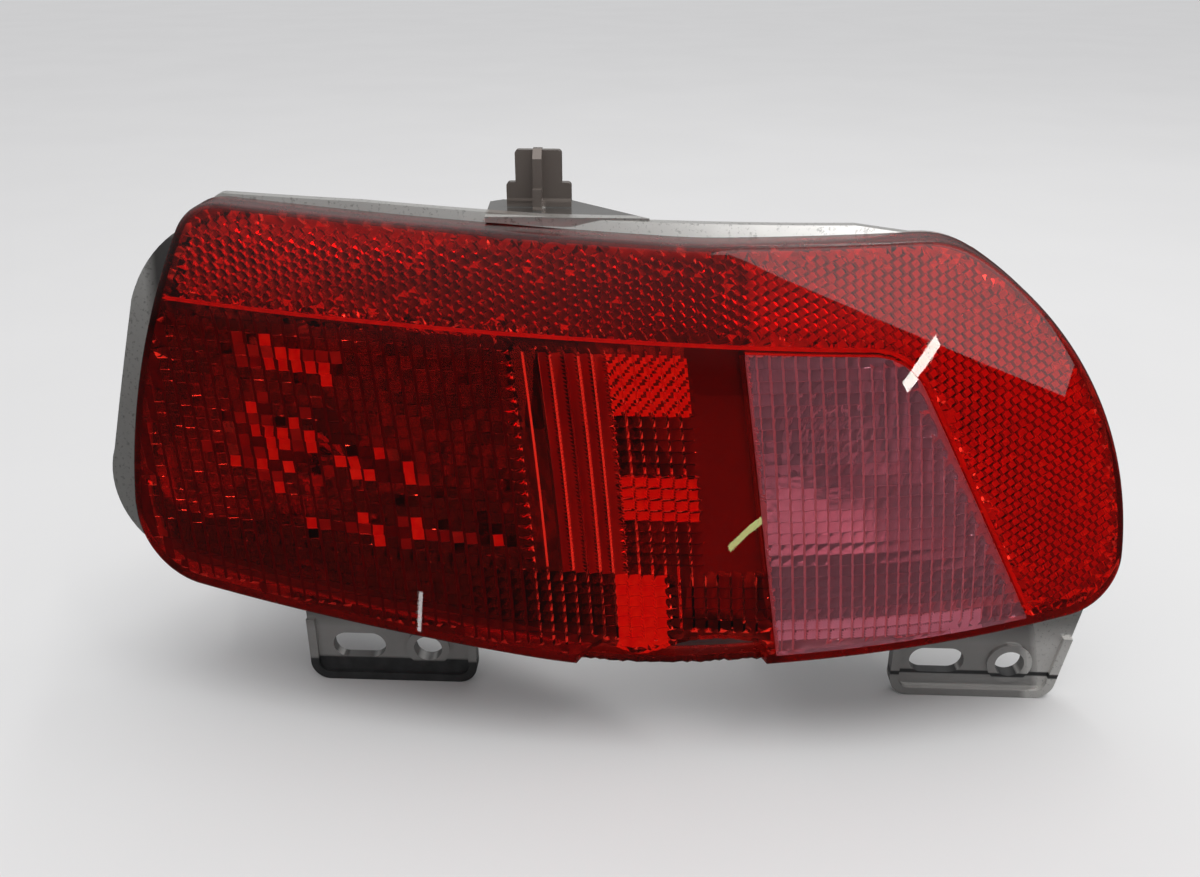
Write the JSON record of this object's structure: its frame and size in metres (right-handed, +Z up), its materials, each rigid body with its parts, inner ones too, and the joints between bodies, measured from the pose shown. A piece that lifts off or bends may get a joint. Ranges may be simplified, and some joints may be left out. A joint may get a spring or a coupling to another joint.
{
  "type": "rear bumper lamp with reflector",
  "caption": "Wide curved rear bumper lamp: red lens with reflex band, fog zone and pale reversing window on a metallised housing with screw brackets and a top locator.",
  "frame": {"origin": "middle of the line between the two round screw holes, on the brackets' front face", "axes": "+X to the viewer's right when facing the lens, +Y back into the car, +Z up as mounted on the car"},
  "size_m": [0.2767, 0.0895, 0.15],
  "materials": {
    "metallised_housing": "vacuum-metallised dark moulding, scuffed",
    "red_acrylic": "clear red, polished",
    "pale_acrylic": "clear, faint pink, polished",
    "bulb_glass": "clear",
    "bulb_cap": "nickel-plated brass",
    "insulator": "black glassy",
    "filament": "drawn wire",
    "holder_plastic": "moulded black",
    "seal_rubber": "soft black",
    "terminal_brass": "stamped strip"
  },
  "bodies": {
    "root": {"housing": "metallised_housing", "red_lens": "red_acrylic", "reversing_lens": "pale_acrylic", "fog_bulb_glass": "bulb_glass", "fog_bulb_cap": "bulb_cap", "fog_bulb_insulator": "insulator", "fog_bulb_filament": "filament", "fog_holder": "holder_plastic", "fog_holder_seal": "seal_rubber", "fog_holder_terminals": "terminal_brass", "reversing_bulb_glass": "bulb_glass", "reversing_bulb_cap": "bulb_cap", "reversing_bulb_insulator": "insulator", "reversing_bulb_filament": "filament", "reversing_holder": "holder_plastic", "reversing_holder_seal": "seal_rubber", "reversing_holder_terminals": "terminal_brass"}
  },
  "joints": []
}
